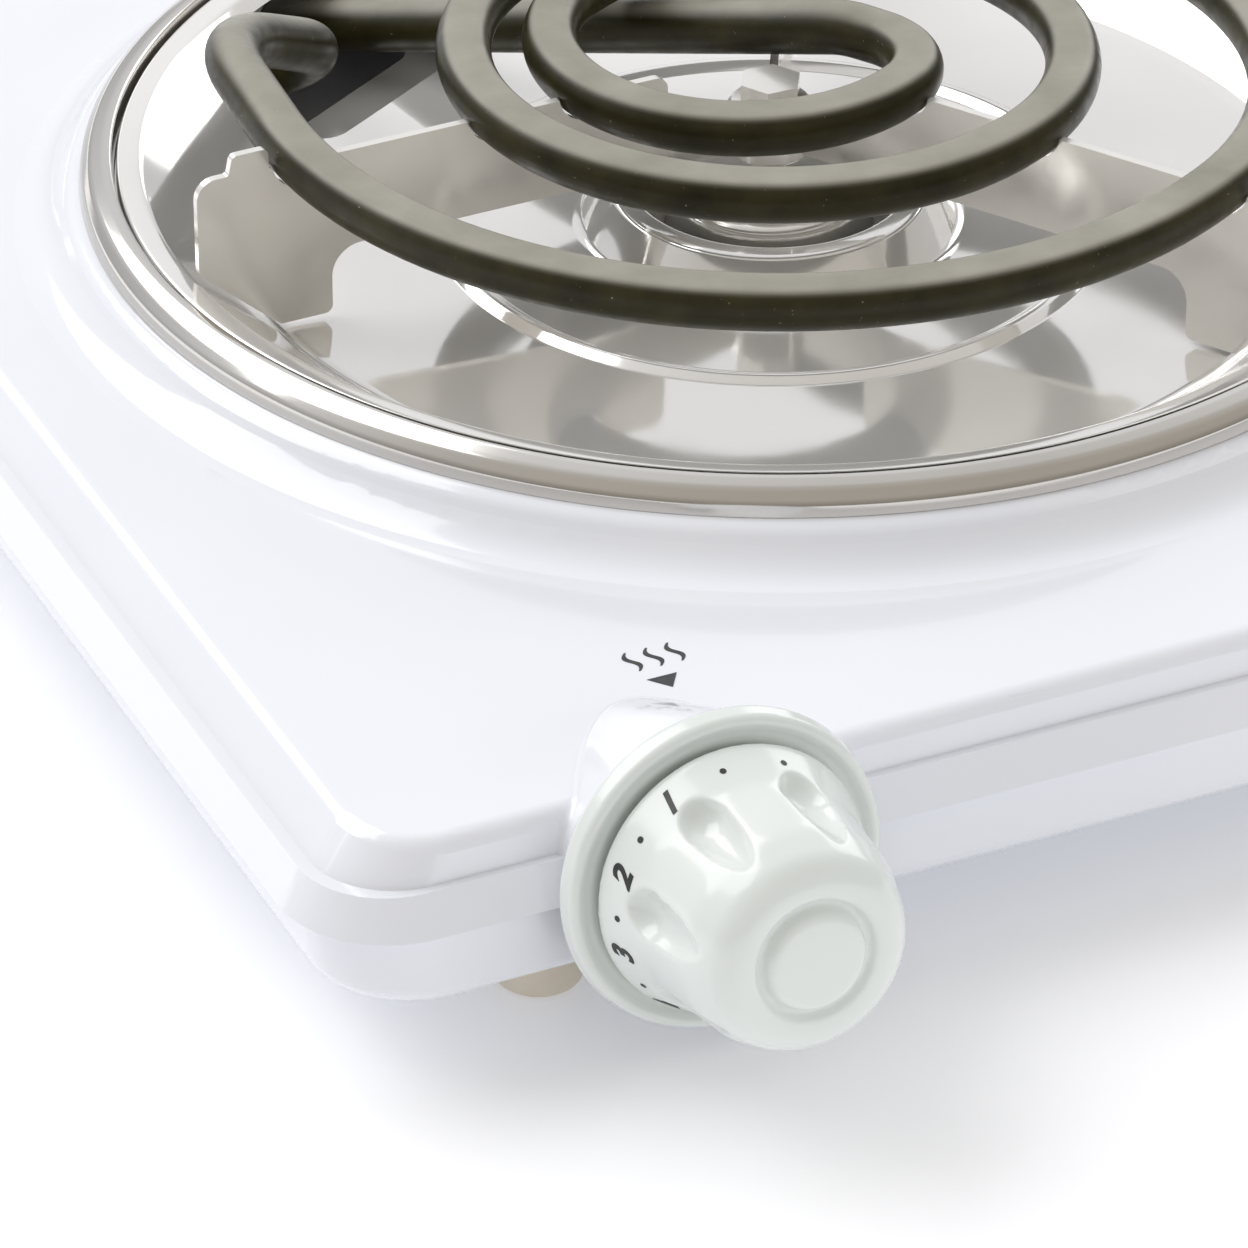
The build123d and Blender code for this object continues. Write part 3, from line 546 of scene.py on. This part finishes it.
def printed(name, outline_mesh, place, body, ink):
    """Thin film of ink from a flat mesh in mm, laid on a surface by place(x, y, lift)."""
    bm = bmesh.new()
    bm.from_mesh(outline_mesh)
    bmesh.ops.triangulate(bm, faces=bm.faces)
    long_edges = [edge for edge in bm.edges if edge.calc_length() > longest_edge]
    bmesh.ops.subdivide_edges(bm, edges=long_edges, cuts=2)
    bmesh.ops.triangulate(bm, faces=bm.faces)
    bm.verts.index_update()
    count = len(bm.verts)
    low = [place(v.co.x, v.co.y, ink_under) for v in bm.verts]
    high = [place(v.co.x, v.co.y, ink_over) for v in bm.verts]
    tops = [tuple(v.index + count for v in face.verts) for face in bm.faces]
    bottoms = [tuple(reversed([v.index for v in face.verts])) for face in bm.faces]
    walls = []
    for edge in bm.edges:
        if edge.is_boundary:
            loop = edge.link_loops[0]
            a, b = loop.vert.index, loop.link_loop_next.vert.index
            walls.append((a, b, b + count, a + count))
    bm.free()
    piece = add_piece(name, low + high, tops + bottoms + walls, ink, body)
    piece.data.set_sharp_from_angle(angle=radians(40))
    return piece


def glyph(text, size):
    """Flat mesh of one bold slanted numeral, centred, in mm."""
    curve = bpy.data.curves.new("glyph", "FONT")
    curve.body = text
    curve.size = size
    curve.shear = 0.28
    curve.offset = 0.035 * size
    curve.align_x = "CENTER"
    curve.align_y = "CENTER"
    curve.resolution_u = 6
    holder = bpy.data.objects.new("glyph", curve)
    bpy.context.scene.collection.objects.link(holder)
    bpy.context.view_layer.update()
    mesh = bpy.data.meshes.new_from_object(holder.evaluated_get(bpy.context.evaluated_depsgraph_get()))
    bpy.data.objects.remove(holder)
    return mesh


def polygon_mesh(points):
    """Flat mesh of one outline in mm."""
    mesh = bpy.data.meshes.new("outline")
    mesh.from_pydata([(x, y, 0) for x, y in points], [], [tuple(range(len(points)))])
    return mesh


# the moulded knob, with the soft edges and shallow flutes of its tool
knob = bpy.data.objects.new("knob_moulding", nodes["control_knob"].data.copy())
bpy.context.scene.collection.objects.link(knob)
remesh = knob.modifiers.new("remesh", "REMESH")
remesh.mode = "VOXEL"
remesh.voxel_size = 0.24 * MM
soften = knob.modifiers.new("soften", "SMOOTH")
soften.factor = 0.5
soften.iterations = 22
thin = knob.modifiers.new("thin", "DECIMATE")
thin.ratio = 0.25
apply_modifiers(knob)
paint(knob, plastic)
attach(knob, "knob")
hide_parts("control_knob")

knob_surface, shell_surface = surface_of(knob, nodes["top_shell"])
mark_depth = 6.0
mark_radius = 16.9
ray_start = 40 * MM


def on_dial(angle):
    """Placer for a mark on the knob's skirt at an angle clockwise from the top."""

    def place(x, y, lift):
        turned = radians(angle) + x / mark_radius
        outward = knob_up * cos(turned) + knob_right * sin(turned)
        start = knob_origin + knob_out * ((mark_depth - y) * MM) + outward * ray_start
        return hit(knob_surface, start, -outward, lift)

    return place


def on_top(x, y):
    """Placer for a mark on the shell, about a point in mm from the burner axis."""

    def place(dx, dy, lift):
        start = burner + Vector(((x + dx) * MM, (y + dy) * MM, 0.1))
        return hit(shell_surface, start, -up, lift)

    return place


dial_ink = finish_surface("dial_ink", (0.012, 0.012, 0.013), (0.03, 0.03, 0.032), (0.35, 0.5), grain=900)
plate_ink = finish_surface("plate_ink", (0.03, 0.03, 0.032), (0.06, 0.06, 0.065), (0.4, 0.55), grain=700)
dot_radius = 0.42
dot_sides = 20
dot_angles = [2 * pi * k / dot_sides for k in range(dot_sides)]
dot = [(dot_radius * cos(a), dot_radius * sin(a)) for a in dot_angles]
numeral_size = 4.3
mark_count = 13
off_angle = 21.0
mark_step = 18.15
first_gap = 9.85
mark_gap = 18.7
for k in range(mark_count):
    angle = off_angle - mark_step * k - (mark_gap if k > 1 else first_gap * k)
    if k >= 2 and k % 2 == 0:
        outline = glyph(str(k // 2), numeral_size)
    else:
        outline = polygon_mesh(dot)
    printed(f"dial_mark_{k:02d}", outline, on_dial(angle), "knob", dial_ink)

pointer = polygon_mesh([(-2.1, 1.4), (0.2, -1.5), (2.1, 1.4)])
pointer_x = -68.2
pointer_y = -110.4
printed("pointer_mark", pointer, on_top(pointer_x, pointer_y), "chassis", plate_ink)


def wave_outline(height, width, swing):
    """Upright wavy stroke in mm."""
    count = 24
    left, right = [], []
    for i in range(count + 1):
        t = i / count
        x = swing * sin(2 * pi * t)
        half = width * (0.35 + 0.65 * sin(pi * t))
        left.append((x - half, height * (t - 0.5)))
        right.append((x + half, height * (t - 0.5)))
    return left + right[::-1]


symbol_x = -67.2
symbol_y = -104.4
symbol_pitch = 3.0
for k in (-1, 0, 1):
    wave = polygon_mesh(wave_outline(height=4.6, width=0.42, swing=0.6))
    place = on_top(symbol_x + symbol_pitch * k, symbol_y)
    printed(f"heat_symbol_{k + 2}", wave, place, "chassis", plate_ink)

# ---- camera ----
camera_place = Vector((-0.39617, -0.78088, 0.52337))
camera_yaw = radians(24.88)
camera_pitch = radians(31.63)
camera_data = bpy.data.cameras.new("camera")
camera_data.sensor_width = 36
camera_data.lens = 206
camera_data.shift_x = 0.0079
camera_data.shift_y = -0.0485
camera = bpy.data.objects.new("camera", camera_data)
bpy.context.scene.collection.objects.link(camera)
camera.location = camera_place
look = Vector((sin(camera_yaw) * cos(camera_pitch), cos(camera_yaw) * cos(camera_pitch), -sin(camera_pitch)))
camera.rotation_euler = look.to_track_quat("-Z", "Y").to_euler()
bpy.context.scene.camera = camera
bpy.context.scene.view_settings.view_transform = "Standard"


# ---- floor and light ----
def sheet(name, corners, material):
    """Flat stage card from its corners."""
    mesh = bpy.data.meshes.new(name)
    mesh.from_pydata(corners, [], [tuple(range(len(corners)))])
    mesh.materials.append(material)
    card = bpy.data.objects.new(name, mesh)
    bpy.context.scene.collection.objects.link(card)
    return card


floor_material = finish_surface(
    "floor_paper", (0.90, 0.90, 0.92), (0.92, 0.92, 0.94), (0.7, 0.8), grain=6,
    Emission_Color=(0.93, 0.96, 1.0, 1), Emission_Strength=0.17,
)
floor_half = 4
floor_corners = [(floor_half * x, floor_half * y, 0) for x, y in ((-1, -1), (1, -1), (1, 1), (-1, 1))]
sheet("floor", floor_corners, floor_material)


def soft_light(name, place, target, size, power, colour=(1, 1, 1)):
    """Area light at a place, turned to a target."""
    data = bpy.data.lights.new(name, "AREA")
    data.shape = "RECTANGLE"
    data.size, data.size_y = size
    data.energy = power
    data.color = colour
    lamp = bpy.data.objects.new(name, data)
    bpy.context.scene.collection.objects.link(lamp)
    lamp.location = place
    lamp.rotation_euler = (Vector(target) - Vector(place)).to_track_quat("-Z", "Y").to_euler()
    return lamp


middle = burner + Vector((0, 0, deck_z))
soft_light("key", (-0.9, 1.1, 1.5), middle, (2.0, 1.5), 25)
soft_light("rim", (1.6, 1.1, 0.8), middle, (1.2, 1.0), 6)
# the fill brightens the front and stays out of the reflections
fill = soft_light("fill", (0.9, -1.8, 0.6), middle, (2.4, 0.8), 10, (0.93, 0.96, 1.0))
fill.visible_glossy = False


def studio_world():
    """Bright behind and above the object, warm grey in front of it, darker near the horizon."""
    world = bpy.data.worlds.new("studio")
    world.use_nodes = True
    tree = world.node_tree
    axes = axis_values(tree, "Generated")
    colour = ramp(
        tree,
        mapped(tree, axes["Y"], (-0.6, 0.45)),
        ((0.0, (0.54, 0.505, 0.455)), (0.45, (0.62, 0.60, 0.57)), (1.0, (0.96, 0.97, 1.0))),
    )
    background = tree.nodes["Background"]
    tree.links.new(colour, background.inputs["Color"])
    tree.links.new(mapped(tree, axes["Z"], (0.0, 0.6), (0.55, 1.0)), background.inputs["Strength"])
    bpy.context.scene.world = world


studio_world()
